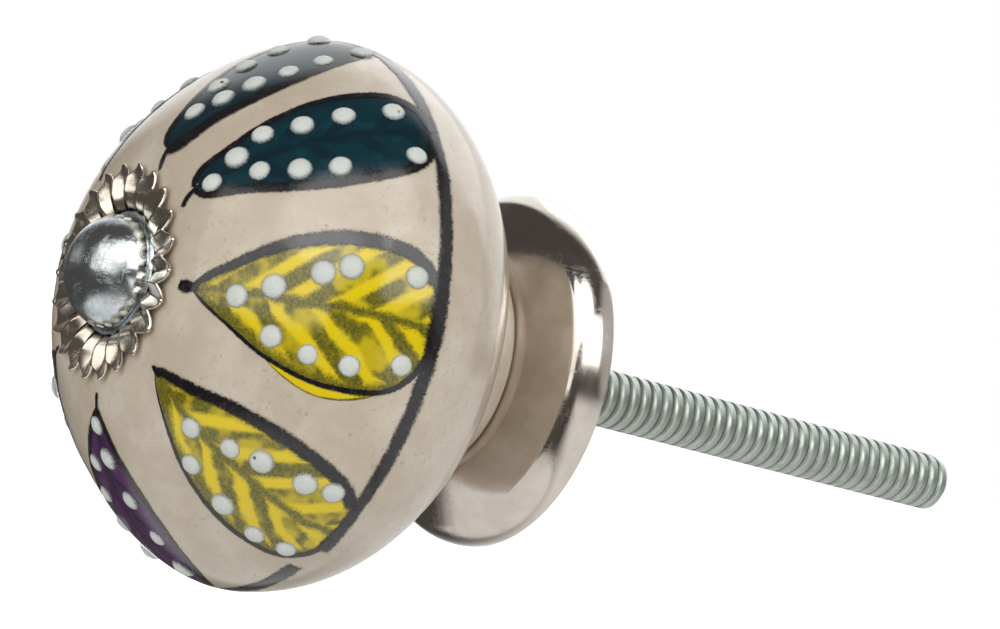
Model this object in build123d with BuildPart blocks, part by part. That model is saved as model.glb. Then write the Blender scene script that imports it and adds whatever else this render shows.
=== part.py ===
import math
import os

from build123d import *

# The knob's axis is Y: the bolt's head faces -Y, the threaded end points along +Y, +Z is up.
# The origin is the centre of the base cup's rear rim, the plane that meets the drawer front.

# Ceramic body
shoulder_radius = 20.1
crown_height = 13.75
crown_radius = 7.2
crown_ease = 4.5
dome_ease = 5.1
bowl_ease = 6.2
bowl_depth = 12.0
foot_top_radius = 9.0
foot_ease = (5.2, 0.8)
foot_radius = 8.2
foot_height = 3.2
foot_edge_round = 0.4
seat_radius = 4.9
seat_depth = 0.85
seat_rim_width = 1.0
body_bore_clearance = 0.5

# Painted enamel and raised slip
enamel_thickness = 0.12
line_width = 1.1
outline_width = 0.5
leaf_tip_share = 0.15
leaf_overrun = 0.3
leaf_prism_reach = 3.0
bead_radius = 0.95
bead_height = 0.5
bead_taper = 38
bead_sides = 8

# Base cup
cup_height = 5.1
cup_wall = 0.8
cup_flat_radius = 8.8
cup_shoulder_radius = 12.5
cup_rim_radius = 13.25
cup_skirt_height = 2.3
cup_face_bulge = 0.3
cup_skirt_bulge = 0.15
cup_edge_round = 0.3

# Bolt
shank_radius = 2.2
shank_pitch_radius = 1.95
shank_reach = 43.6
shank_tip_chamfer = 0.5
head_radius = 4.5
head_height = 4.1
head_rim_height = 0.5
head_rim_step = 0.35

# Flower washer
washer_thickness = 0.4
washer_radius = 7.85
petal_count = 22
petal_phase = 8.6
petal_notch_radius = 6.5
petal_crest_radius = 6.3
petal_crest_height = 0.7
petal_tip_thickness = 0.3
petal_scoop_radius = 0.95
petal_scoop_depth = 0.5

# Clamp nut
nut_across_flats = 8.0
nut_height = 3.2
nut_corner_ease = 0.35
nut_bore_clearance = 0.05
bore_clearance = 0.3

# Places along the axis
foot_y = -cup_height
bowl_end_y = foot_y - foot_height
shoulder_y = bowl_end_y - bowl_depth
crown_y = shoulder_y - crown_height
seat_y = crown_y + seat_depth
washer_front_y = seat_y - washer_thickness
head_apex_y = washer_front_y - head_height
nut_front_y = foot_y + cup_wall
nut_rear_y = nut_front_y + nut_height

# Where the raised dots sit in a leaf: share of the dome's profile, offset from the leaf's middle
slender_beads = [
    (0.23, -0.38), (0.33, 0.79), (0.43, 2.08), (0.55, 1.85), (0.68, 1.91), (0.85, 1.84),
    (0.39, -1.02), (0.51, -1.91), (0.63, -2.47), (0.89, -2.26),
]
broad_beads = [
    (0.33, -0.57), (0.44, 0.56), (0.58, 2.09), (0.66, 2.88), (0.88, 3.15),
    (0.47, -2.85), (0.59, -3.52), (0.72, -3.72), (0.89, -2.91),
]
full_beads = [
    (0.38, 0.08), (0.51, 1.14), (0.61, 1.97), (0.76, 2.6), (0.86, 3.13),
    (0.46, -2.24), (0.61, -3.02), (0.75, -3.63), (0.87, -3.26),
]
long_beads = [
    (0.32, 0.2), (0.41, -0.9), (0.51, -1.7), (0.62, -2.4), (0.74, -2.8), (0.9, -2.8),
    (0.45, 1.3), (0.57, 1.9), (0.7, 2.2), (0.86, 2.1),
]
leaning_beads = [
    (0.23, 1.2), (0.35, 1.6), (0.5, 2.2), (0.65, 2.8), (0.8, 2.8),
    (0.39, -0.9), (0.53, -2.1), (0.67, -2.9), (0.82, -2.9),
]

# Each leaf: name of its colour field, angle from +X towards +Z, half width, how far its tip leans, its dots
leaves = [
    ("yellow_leaf_1", 5.7, 5.4, 0.0, broad_beads),
    ("teal_leaf_1", 48.2, 4.1, 0.0, slender_beads),
    ("teal_leaf_2", 85.8, 4.2, -0.7, long_beads),
    ("green_leaf_1", 132.7, 4.8, 0.4, full_beads),
    ("green_leaf_2", 178.2, 4.9, 0.5, broad_beads),
    ("purple_leaf_1", 223.7, 4.8, 0.3, full_beads),
    ("purple_leaf_2", 267.0, 4.6, 1.6, leaning_beads),
    ("yellow_leaf_2", 318.2, 4.8, 0.8, full_beads),
]

# A leaf's outline: share of its length, share of its half width
leaf_stations = [(0.17, 0.40), (0.38, 0.79), (0.61, 1.0), (0.82, 0.97), (0.95, 0.66)]


# Control points, as radius and place along the axis, of the front curve from crown to shoulder
def dome_controls(lift=0.0):
    return [
        (crown_radius, crown_y - lift),
        (crown_radius + crown_ease, crown_y - lift),
        (shoulder_radius + lift, shoulder_y - dome_ease),
        (shoulder_radius + lift, shoulder_y),
    ]


# Control points of the underside's curve from shoulder to foot
def bowl_controls(lift=0.0):
    return [
        (shoulder_radius + lift, shoulder_y),
        (shoulder_radius + lift, shoulder_y + bowl_ease),
        (foot_top_radius + foot_ease[0], bowl_end_y - foot_ease[1] + lift),
        (foot_top_radius, bowl_end_y + lift),
    ]


# Point and outward normal of the dome's profile at a share of its curve
def dome_point(share):
    p = dome_controls()
    rest = 1 - share
    weights = (rest**3, 3 * rest**2 * share, 3 * rest * share**2, share**3)
    point = [sum(w * c[i] for w, c in zip(weights, p)) for i in (0, 1)]
    slopes = (rest**2, 2 * rest * share, share**2)
    run = [sum(w * (b[i] - a[i]) for w, a, b in zip(slopes, p, p[1:])) for i in (0, 1)]
    length = math.hypot(*run)
    return point, (run[1] / length, -run[0] / length)


# A radius and a place along the axis as a point in space, at an angle round the axis
def turned(angle, radius, place):
    turn = math.radians(angle)
    return Vector(radius * math.cos(turn), place, radius * math.sin(turn))


# Plane on a leaf's chord: X from tip to base, Z outwards, origin at the leaf's tip
def leaf_plane(angle):
    tip = turned(angle, *dome_point(leaf_tip_share)[0])
    base = turned(angle, *dome_point(1)[0])
    along = (base - tip).normalized()
    across = turned(angle + 90, 1, 0)
    return Plane(origin=tip, x_dir=along, z_dir=along.cross(across))


# Length of a leaf's chord, with a little over for the trim at the shoulder line
def leaf_length(angle):
    tip = turned(angle, *dome_point(leaf_tip_share)[0])
    base = turned(angle, *dome_point(1)[0])
    return (base - tip).length + leaf_overrun


# Leaf shape, drawn in by an inset, pushed right through the enamel. Its middle line bends over to the tip.
def leaf_prism(angle, half_width, lean, inset):
    start = 2 * inset
    end = leaf_length(angle)
    width = half_width - inset
    bend = -2 * lean / end
    with BuildPart() as prism:
        with BuildSketch(leaf_plane(angle)):
            with BuildLine():
                for side in (1, -1):
                    stations = []
                    for along, across in [(0, 0), *leaf_stations, (1, 0)]:
                        x = start + (end - start) * along
                        stations.append((x, side * width * across + lean * (1 - x / end) ** 2))
                    Spline(*stations, tangents=[(1, side * 0.8 + bend), (0, -side)])
            make_face()
        extrude(amount=leaf_prism_reach, both=True)
    return prism.part


# Ceramic body
with BuildPart() as ceramic_body:
    with BuildSketch(Plane.XY):
        with BuildLine():
            Polyline(
                (shank_radius + body_bore_clearance, foot_y),
                (shank_radius + body_bore_clearance, seat_y),
                (seat_radius, seat_y),
                (seat_radius + seat_rim_width, crown_y),
                (crown_radius, crown_y),
            )
            Bezier(*dome_controls())
            Bezier(*bowl_controls())
            Polyline(
                (foot_top_radius, bowl_end_y),
                (foot_radius, foot_y),
                (shank_radius + body_bore_clearance, foot_y),
            )
        make_face()
    revolve(axis=Axis.Y)
    foot_edge = ceramic_body.edges().filter_by(GeomType.CIRCLE).filter_by(
        lambda e: abs(e.radius - foot_radius) < 0.01 and abs(e.center().Y - foot_y) < 0.01
    )
    fillet(foot_edge, radius=foot_edge_round)
ceramic_body.part.label = "ceramic_body"

# Thin sleeve of enamel over dome and bowl, which the painted pieces are cut from
with BuildPart() as enamel_sleeve:
    with BuildSketch(Plane.XY):
        with BuildLine():
            Bezier(*dome_controls())
            Bezier(*bowl_controls())
            Line((foot_top_radius, bowl_end_y), (foot_top_radius, bowl_end_y + enamel_thickness))
            Bezier(*bowl_controls(enamel_thickness))
            Bezier(*dome_controls(enamel_thickness))
            Line((crown_radius, crown_y - enamel_thickness), (crown_radius, crown_y))
        make_face()
    revolve(axis=Axis.Y)

# Black line round the shoulder
with BuildPart() as shoulder_line:
    with BuildSketch(Plane((0, shoulder_y - line_width / 2, 0), x_dir=(1, 0, 0), z_dir=(0, 1, 0))):
        Circle(shoulder_radius + 2 * enamel_thickness)
    extrude(amount=line_width)
    add(enamel_sleeve.part, mode=Mode.INTERSECT)
shoulder_line.part.label = "shoulder_line"

# Enamel that the leaves may use, in front of the shoulder line
with BuildPart() as leaf_enamel:
    with BuildSketch(Plane((0, shoulder_y - line_width / 2, 0), x_dir=(1, 0, 0), z_dir=(0, -1, 0))):
        Circle(shoulder_radius + 2 * enamel_thickness)
    extrude(amount=crown_height + line_width)
    add(enamel_sleeve.part, mode=Mode.INTERSECT)

# Solid that the dots stand on: the dome with its enamel
with BuildPart() as painted_dome:
    with BuildSketch(Plane.XY):
        with BuildLine():
            Bezier(*dome_controls(enamel_thickness))
            Polyline(
                (shoulder_radius + enamel_thickness, shoulder_y),
                (0, shoulder_y),
                (0, crown_y - enamel_thickness),
                (crown_radius, crown_y - enamel_thickness),
            )
        make_face()
    revolve(axis=Axis.Y)

# Leaves: a field of colour, its black outline and its raised dots
painted_pieces = []
for number, (field_name, angle, half_width, lean, beads) in enumerate(leaves, start=1):
    with BuildPart() as leaf_field:
        add(leaf_prism(angle, half_width, lean, outline_width))
        add(leaf_enamel.part, mode=Mode.INTERSECT)
    leaf_field.part.label = field_name

    with BuildPart() as leaf_outline:
        add(leaf_prism(angle, half_width, lean, 0))
        add(leaf_prism(angle, half_width, lean, outline_width), mode=Mode.SUBTRACT)
        add(leaf_enamel.part, mode=Mode.INTERSECT)
    leaf_outline.part.label = f"leaf_outline_{number}"

    with BuildPart() as leaf_dots:
        for share, offset in beads:
            (radius, place), normal = dome_point(share)
            bead_angle = angle + math.degrees(math.asin(offset / radius))
            outward = turned(bead_angle, *normal)
            with BuildSketch(Plane(turned(bead_angle, radius, place), z_dir=outward)):
                RegularPolygon(radius=bead_radius, side_count=bead_sides)
            extrude(amount=bead_height + enamel_thickness, taper=bead_taper)
        add(painted_dome.part, mode=Mode.SUBTRACT)
    leaf_dots.part.label = f"leaf_dots_{number}"
    painted_pieces += [leaf_field.part, leaf_outline.part, leaf_dots.part]

# Base cup, pressed from sheet: flat where the foot stands, domed outwards, hollow behind
with BuildPart() as base_cup:
    with BuildSketch(Plane.XY):
        with BuildLine():
            shoulder = (cup_shoulder_radius, -cup_skirt_height)
            rim = (cup_rim_radius, 0)
            flat = (cup_flat_radius, -cup_height)
            inner_flat = (cup_flat_radius - cup_wall / 2, -cup_height + cup_wall)
            inner_shoulder = (cup_shoulder_radius - cup_wall, -cup_skirt_height + cup_wall / 2)
            inner_rim = (cup_rim_radius - cup_wall, 0)
            Line((shank_radius + bore_clearance, -cup_height), flat)
            SagittaArc(flat, shoulder, -cup_face_bulge)
            SagittaArc(shoulder, rim, -cup_skirt_bulge)
            Line(rim, inner_rim)
            Polyline(
                inner_rim,
                inner_shoulder,
                inner_flat,
                (shank_radius + bore_clearance, -cup_height + cup_wall),
                (shank_radius + bore_clearance, -cup_height),
            )
        make_face()
    revolve(axis=Axis.Y)
    cup_edges = base_cup.edges().filter_by(GeomType.CIRCLE)
    outer_bend = cup_edges.filter_by(lambda e: abs(e.radius - cup_shoulder_radius) < 0.01)
    fillet(outer_bend, radius=cup_edge_round)
base_cup.part.label = "base_cup"

# Dome-headed bolt, head and shank in one. The shank has its thread's pitch radius as far as the clamp nut
# holds it, and its full radius behind the nut, where it goes through the drawer front.
with BuildPart() as dome_bolt:
    with BuildSketch(Plane.XY):
        with BuildLine():
            rim_front_y = washer_front_y - head_rim_height
            dome_radius = head_radius - head_rim_step
            EllipticalCenterArc(
                (0, rim_front_y), dome_radius, head_height - head_rim_height, start_angle=270, arc_size=90
            )
            Polyline(
                (dome_radius, rim_front_y),
                (head_radius, rim_front_y),
                (head_radius, washer_front_y),
                (shank_pitch_radius, washer_front_y),
                (shank_pitch_radius, nut_rear_y),
                (shank_radius, nut_rear_y),
                (shank_radius, shank_reach - shank_tip_chamfer),
                (shank_radius - shank_tip_chamfer, shank_reach),
                (0, shank_reach),
                (0, head_apex_y),
            )
        make_face()
    revolve(axis=Axis.Y)
dome_bolt.part.label = "dome_bolt"

# Flower washer: a flat centre in the seat, and a ring of petals that rises over the crown
with BuildPart() as flower_washer:
    crest_y = crown_y - petal_crest_height
    with BuildSketch(Plane.XY):
        with BuildLine():
            Polyline(
                (shank_radius + bore_clearance, seat_y),
                (shank_radius + bore_clearance, washer_front_y),
                (head_radius, washer_front_y),
                (petal_crest_radius, crest_y),
                (washer_radius, crown_y - petal_tip_thickness),
                (washer_radius, crown_y),
                (seat_radius + seat_rim_width, crown_y),
                (seat_radius, seat_y),
                close=True,
            )
        make_face()
    revolve(axis=Axis.Y)
    petal_step = 360 / petal_count
    star = []
    for petal in range(petal_count):
        tip_angle = petal_phase + petal * petal_step
        star.append(turned(tip_angle, washer_radius, 0))
        star.append(turned(tip_angle + petal_step / 2, petal_notch_radius, 0))
    with BuildSketch(Plane((0, seat_y + 1, 0), x_dir=(1, 0, 0), z_dir=(0, -1, 0))):
        Polygon(*[(corner.X, corner.Z) for corner in star], align=None)
    extrude(amount=crown_height, mode=Mode.INTERSECT)
    scoop_y = crest_y + petal_scoop_depth - petal_scoop_radius
    for petal in range(petal_count):
        tip_angle = petal_phase + petal * petal_step
        outward = turned(tip_angle, 1, 0)
        with BuildSketch(Plane(turned(tip_angle, head_radius, scoop_y), z_dir=outward)):
            Circle(petal_scoop_radius)
        extrude(amount=washer_radius, mode=Mode.SUBTRACT)
flower_washer.part.label = "flower_washer"

# Hex nut that clamps the stack, inside the cup
with BuildPart() as clamp_nut:
    corner_radius = nut_across_flats / math.sqrt(3)
    with BuildSketch(Plane((0, nut_front_y, 0), x_dir=(1, 0, 0), z_dir=(0, 1, 0))):
        RegularPolygon(radius=corner_radius, side_count=6)
        Circle(shank_pitch_radius + nut_bore_clearance, mode=Mode.SUBTRACT)
    extrude(amount=nut_height)
    with BuildSketch(Plane.XY):
        Polygon(
            (0, nut_front_y),
            (corner_radius, nut_front_y),
            (corner_radius, nut_front_y + nut_height - nut_corner_ease),
            (corner_radius - 2 * nut_corner_ease, nut_front_y + nut_height),
            (0, nut_front_y + nut_height),
            align=None,
        )
    revolve(axis=Axis.Y, mode=Mode.INTERSECT)
clamp_nut.part.label = "clamp_nut"

os.makedirs("parts", exist_ok=True)
for piece in [ceramic_body.part, shoulder_line.part, *painted_pieces]:
    export_step(piece, f"parts/{piece.label}.step")
export_step(base_cup.part, "parts/base_cup.step")
export_step(dome_bolt.part, "parts/dome_bolt.step")
export_step(flower_washer.part, "parts/flower_washer.step")
export_step(clamp_nut.part, "parts/clamp_nut.step")
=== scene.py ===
import math

import bmesh
import bpy
import numpy as np
from mathutils import Matrix, Vector


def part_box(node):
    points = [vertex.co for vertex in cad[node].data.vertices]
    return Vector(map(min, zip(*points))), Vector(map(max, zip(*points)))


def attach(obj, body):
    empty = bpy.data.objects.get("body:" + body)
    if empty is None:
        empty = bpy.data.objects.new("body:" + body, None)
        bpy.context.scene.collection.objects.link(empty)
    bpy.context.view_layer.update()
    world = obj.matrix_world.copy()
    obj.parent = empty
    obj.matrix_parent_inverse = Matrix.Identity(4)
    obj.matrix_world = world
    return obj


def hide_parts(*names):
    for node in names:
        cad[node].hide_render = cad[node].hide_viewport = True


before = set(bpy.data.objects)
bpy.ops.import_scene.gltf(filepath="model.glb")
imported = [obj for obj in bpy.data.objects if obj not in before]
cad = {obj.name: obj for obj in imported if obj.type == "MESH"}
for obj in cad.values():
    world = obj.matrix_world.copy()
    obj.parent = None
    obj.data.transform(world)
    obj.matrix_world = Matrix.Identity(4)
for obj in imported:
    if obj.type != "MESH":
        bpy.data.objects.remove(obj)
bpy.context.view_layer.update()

print("frame loaded,", len(cad), "nodes")

mm = 0.001

# Stoneware: the front curve is a Bezier from crown to shoulder, the same as the solid's
bodyLow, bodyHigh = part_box("ceramic_body")
lineLow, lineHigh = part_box("shoulder_line")
stoneware = {
    "shoulderRadius": bodyHigh.x,
    "shoulderY": (lineLow.y + lineHigh.y) / 2,
    "crownY": bodyLow.y,
    "crownRadius": 7.2 * mm,
    "crownEase": 4.5 * mm,
    "domeEase": 5.1 * mm,
    "leafTipShare": 0.15,
    "insideY": 6 * mm,
}


# Helpers for objects and node trees

def addObject(name, data):
    made = bpy.data.objects.new(name, data)
    bpy.context.scene.collection.objects.link(made)
    return made


def feed(tree, inputs, values):
    for name, value in values.items():
        if isinstance(value, bpy.types.NodeSocket):
            tree.links.new(value, inputs[name])
        else:
            inputs[name].default_value = value


def addNode(tree, kind, inputs=None, **settings):
    node = tree.nodes.new(kind)
    for name, value in settings.items():
        setattr(node, name, value)
    feed(tree, node.inputs, inputs or {})
    return node


def newTree(name, kind, inputs, outputs):
    tree = bpy.data.node_groups.new(name, kind)
    for way, sockets in (("INPUT", inputs), ("OUTPUT", outputs)):
        for label, socket in sockets.items():
            tree.interface.new_socket(name=label, in_out=way, socket_type="NodeSocket" + socket)
    return tree, tree.nodes.new("NodeGroupInput").outputs, tree.nodes.new("NodeGroupOutput").inputs


def newMaterial(name, fixed):
    material = bpy.data.materials.new(name)
    material.use_nodes = True
    tree = material.node_tree
    tree.nodes.clear()
    shader = addNode(tree, "ShaderNodeBsdfPrincipled", fixed)
    addNode(tree, "ShaderNodeOutputMaterial", {"Surface": shader.outputs[0]})
    return material, tree, shader.inputs


def calc(tree, operation, *values, clamp=False):
    given = dict(enumerate(values))
    return addNode(tree, "ShaderNodeMath", given, operation=operation, use_clamp=clamp).outputs[0]


def plus(tree, a, b):
    return calc(tree, "ADD", a, b)


def minus(tree, a, b):
    return calc(tree, "SUBTRACT", a, b)


def times(tree, a, b):
    return calc(tree, "MULTIPLY", a, b)


def larger(tree, a, b):
    return calc(tree, "MAXIMUM", a, b)


def vectorCalc(tree, operation, *values):
    node = addNode(tree, "ShaderNodeVectorMath", dict(enumerate(values)), operation=operation)
    return node.outputs["Value" if operation in ("LENGTH", "DOT_PRODUCT") else "Vector"]


def scaled(tree, vector, scale):
    given = {0: vector, "Scale": scale}
    return addNode(tree, "ShaderNodeVectorMath", given, operation="SCALE").outputs["Vector"]


def ramp(tree, value, low, high, toLow=0.0, toHigh=1.0):
    given = {"Value": value, "From Min": low, "From Max": high, "To Min": toLow, "To Max": toHigh}
    return addNode(tree, "ShaderNodeMapRange", given, interpolation_type="SMOOTHSTEP").outputs["Result"]


def noise(tree, vector, size, detail=2.0, roughness=0.5, distortion=0.0):
    given = {"Vector": vector, "Scale": 1 / size, "Detail": detail, "Roughness": roughness}
    given["Distortion"] = distortion
    return addNode(tree, "ShaderNodeTexNoise", given).outputs[0]


# Noise that swings about 0
def swing(tree, vector, size, detail=2.0, roughness=0.5):
    return minus(tree, noise(tree, vector, size, detail, roughness), 0.5)


def blend(tree, amount, first, second):
    return addNode(tree, "ShaderNodeMix", {0: amount, 6: first, 7: second}, data_type="RGBA").outputs[2]


def bumped(tree, height):
    return addNode(tree, "ShaderNodeBump", {"Strength": 1.0, "Distance": mm, "Height": height}).outputs[0]


def readAttribute(tree, name):
    return addNode(tree, "ShaderNodeAttribute", attribute_name=name).outputs["Fac"]


def objectPlace(tree):
    return addNode(tree, "ShaderNodeTexCoord").outputs["Object"]


# Pinholes: the middles of Voronoi cells, in only some of the cells
def pinholes(tree, place, size, edge, chosen, channel):
    cells = addNode(tree, "ShaderNodeTexVoronoi", {"Vector": place, "Scale": 1 / size}).outputs
    chance = addNode(tree, "ShaderNodeSeparateColor", {0: cells["Color"]}).outputs[channel]
    return times(tree, ramp(tree, cells["Distance"], *edge, 1.0, 0.0), ramp(tree, chance, *chosen))


# Glaze: slow waves, orange peel and fine grain in the surface, brown iron specks and pinholes
glazeSurface = {
    "waves": 7 * mm,
    "waveHeight": 0.11,
    "peel": 1.3 * mm,
    "peelHeight": 0.008,
    "grain": 0.22 * mm,
    "grainHeight": 0.0022,
    "pits": 1.9 * mm,
    "pitEdge": (0.03, 0.075),
    "pitsChosen": (0.55, 0.6),
    "pitDepth": 0.02,
    "pitDarkness": 0.8,
    "specks": 0.32 * mm,
    "speckEdge": (0.6, 0.72),
    "speckPatches": 2.6 * mm,
    "patchEdge": (0.42, 0.62),
    "clouds": 5 * mm,
    "roughness": (0.1, 0.2),
}


def makeGlazeGroup(look):
    group, given, result = newTree(
        "glazeSurface",
        "ShaderNodeTree",
        {"Grain Height": "Float", "Speck Amount": "Float"},
        {"Normal": "Vector", "Specks": "Float", "Clouds": "Float", "Roughness": "Float"},
    )
    place = objectPlace(group)
    grain = noise(group, place, look["grain"], 3.0, 0.65)
    pits = pinholes(group, place, look["pits"], look["pitEdge"], look["pitsChosen"], 0)
    height = times(group, noise(group, place, look["waves"], 1.0), look["waveHeight"])
    height = plus(group, height, times(group, noise(group, place, look["peel"]), look["peelHeight"]))
    fine = times(group, times(group, grain, look["grainHeight"]), given["Grain Height"])
    height = minus(group, plus(group, height, fine), times(group, pits, look["pitDepth"]))
    specks = ramp(group, noise(group, place, look["specks"], 2.0, 0.7), *look["speckEdge"])
    patches = ramp(group, noise(group, place, look["speckPatches"]), *look["patchEdge"])
    specks = larger(group, times(group, specks, patches), times(group, pits, look["pitDarkness"]))
    feed(group, result, {
        "Normal": bumped(group, height),
        "Specks": times(group, specks, given["Speck Amount"]),
        "Clouds": noise(group, place, look["clouds"], 3.0, 0.6),
        "Roughness": ramp(group, grain, 0.3, 0.75, *look["roughness"]),
    })
    return group


# Scratches and handling marks on polished metal: each set of lines is noise stretched one way
polishMarks = {
    "lineSets": (((2600, 160, 500), 1.2), ((420, 260, 2900), 1.7), ((900, 2400, 200), 2.1)),
    "lineWidth": 0.02,
    "lineDepth": 0.004,
    "rubbed": 1.1 * mm,
    "rubbedEdge": (0.42, 0.62),
    "dents": 0.7 * mm,
    "dentHeight": 0.012,
    "haze": 1.6 * mm,
}


def makeScratchGroup(look):
    group, given, result = newTree(
        "polishMarks",
        "ShaderNodeTree",
        {"Depth": "Float", "Size": "Float"},
        {"Normal": "Vector", "Marks": "Float", "Haze": "Float"},
    )
    place = scaled(group, objectPlace(group), calc(group, "DIVIDE", 1.0, given["Size"]))
    marks = 0.0
    for stretch, bend in look["lineSets"]:
        lines = noise(group, vectorCalc(group, "MULTIPLY", place, stretch), 1.0, distortion=bend)
        ridge = calc(group, "ABSOLUTE", minus(group, lines, 0.5))
        marks = larger(group, marks, ramp(group, ridge, 0.0, look["lineWidth"], 1.0, 0.0))
    marks = times(group, marks, ramp(group, noise(group, place, look["rubbed"]), *look["rubbedEdge"]))
    dents = times(group, noise(group, place, look["dents"], 3.0, 0.6), look["dentHeight"])
    height = minus(group, dents, times(group, marks, look["lineDepth"]))
    feed(group, result, {
        "Normal": bumped(group, times(group, height, given["Depth"])),
        "Marks": marks,
        "Haze": noise(group, place, look["haze"], 4.0, 0.65),
    })
    return group


glazeGroup = makeGlazeGroup(glazeSurface)
scratchGroup = makeScratchGroup(polishMarks)


# Material whose grain and shine are the glaze's
def glazedMaterial(name, ior, grainHeight, specks):
    material, tree, shader = newMaterial(name, {"IOR": ior})
    given = {"Grain Height": grainHeight, "Speck Amount": specks}
    glaze = addNode(tree, "ShaderNodeGroup", given, node_tree=glazeGroup).outputs
    feed(tree, shader, {"Roughness": glaze["Roughness"], "Normal": glaze["Normal"]})
    return material, tree, shader, glaze


oatmealGlaze = {
    "oatmeal": (0.56, 0.475, 0.365, 1),
    "pale": (0.66, 0.585, 0.48, 1),
    "paleEdge": (0.35, 0.7),
    "tan": (0.44, 0.35, 0.25, 1),
    "tanPatches": 0.55 * mm,
    "tanEdge": (0.5, 0.85),
    "tanAmount": 0.55,
    "iron": (0.16, 0.1, 0.055, 1),
    "specks": 0.36,
    "ior": 1.52,
}


def glazeMaterial(look):
    material, tree, shader, glaze = glazedMaterial("stonewareGlaze", look["ior"], 1.0, look["specks"])
    colour = blend(tree, ramp(tree, glaze["Clouds"], *look["paleEdge"]), look["oatmeal"], look["pale"])
    warm = noise(tree, objectPlace(tree), look["tanPatches"], 4.0, 0.7)
    colour = blend(tree, ramp(tree, warm, *look["tanEdge"], 0.0, look["tanAmount"]), colour, look["tan"])
    feed(tree, shader, {"Base Color": blend(tree, glaze["Specks"], colour, look["iron"])})
    return material


# Painted line: full paint in the middle of a stroke, none past its ragged edge
blackPaint = {
    "deep": (0.008, 0.007, 0.009, 1),
    "thin": (0.055, 0.042, 0.04, 1),
    "reach": 0.8,
    "softness": 0.4,
    "wander": 0.9 * mm,
    "wanderAmount": 0.35,
    "speckle": 0.16 * mm,
    "speckleAmount": 0.88,
    "wornPatches": 0.45 * mm,
    "wornEdge": (0.48, 0.75),
    "wornAmount": 0.8,
    "ior": 1.62,
    "grain": 1.3,
}


def strokeMaterial(look):
    material, tree, shader, _ = glazedMaterial("blackStroke", look["ior"], look["grain"], 0.0)
    place = objectPlace(tree)
    wander = times(tree, swing(tree, place, look["wander"]), look["wanderAmount"])
    speckle = times(tree, swing(tree, place, look["speckle"], 3.0, 0.7), look["speckleAmount"])
    edge = plus(tree, plus(tree, readAttribute(tree, "strokeAcross"), wander), speckle)
    worn = ramp(tree, noise(tree, place, look["wornPatches"], 4.0, 0.75), *look["wornEdge"])
    feed(tree, shader, {
        "Base Color": blend(tree, times(tree, worn, look["wornAmount"]), look["deep"], look["thin"]),
        "Alpha": ramp(tree, edge, look["reach"] - look["softness"], look["reach"], 1.0, 0.0),
    })
    return material


# Leaf paint: a bright field with airbrushed veins and a dark mottled margin. Spacing, width and margin
# are in mm, and slope says how steeply the veins leave the rib.
leafPaint = {
    "yellow": {
        "bright": (0.79, 0.60, 0.002, 1), "pale": (0.74, 0.60, 0.06, 1), "vein": (0.052, 0.062, 0.012, 1),
        "spacing": 3.1, "slope": 1.15, "width": 1.2, "strength": 0.95, "margin": 0.9,
    },
    "teal": {
        "bright": (0.003, 0.030, 0.042, 1), "pale": (0.005, 0.055, 0.068, 1), "vein": (0.004, 0.010, 0.018, 1),
        "spacing": 3.5, "slope": 0.9, "width": 0.8, "strength": 0.6, "margin": 0.9,
    },
    "purple": {
        "bright": (0.085, 0.024, 0.10, 1), "pale": (0.17, 0.08, 0.19, 1), "vein": (0.02, 0.01, 0.03, 1),
        "spacing": 2.8, "slope": 1.0, "width": 0.7, "strength": 0.7, "margin": 0.5,
    },
    "green": {
        "bright": (0.1, 0.24, 0.02, 1), "pale": (0.2, 0.36, 0.08, 1), "vein": (0.02, 0.06, 0.01, 1),
        "spacing": 2.9, "slope": 1.05, "width": 0.7, "strength": 0.85, "margin": 0.55,
    },
}
# What all leaves share. The values ending in Drift and Grain say how far a noise moves an edge.
leafHand = {
    "drift": 2.6 * mm,
    "grain": 0.14 * mm,
    "patches": 2.1 * mm,
    "patchEdge": (0.36, 0.55, 0.35, 1.0),
    "stipple": 0.2 * mm,
    "stippleEdge": (0.38, 0.62, 0.8, 1.0),
    "palePatches": 1.4 * mm,
    "paleEdge": (0.5, 0.78, 0.0, 0.75),
    "ribDrift": 1.2,
    "ribEdge": (0.12, 0.62),
    "veinStagger": 0.9,
    "veinDrift": 1.3,
    "veinGrain": 0.9,
    "marginDrift": 1.4,
    "marginGrain": 1.3,
    "marginEdge": (0.35, 1.25),
    "borderGrain": 0.55,
    "borderEdge": (0.02, 0.2),
    "specks": 0.15,
}


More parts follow.
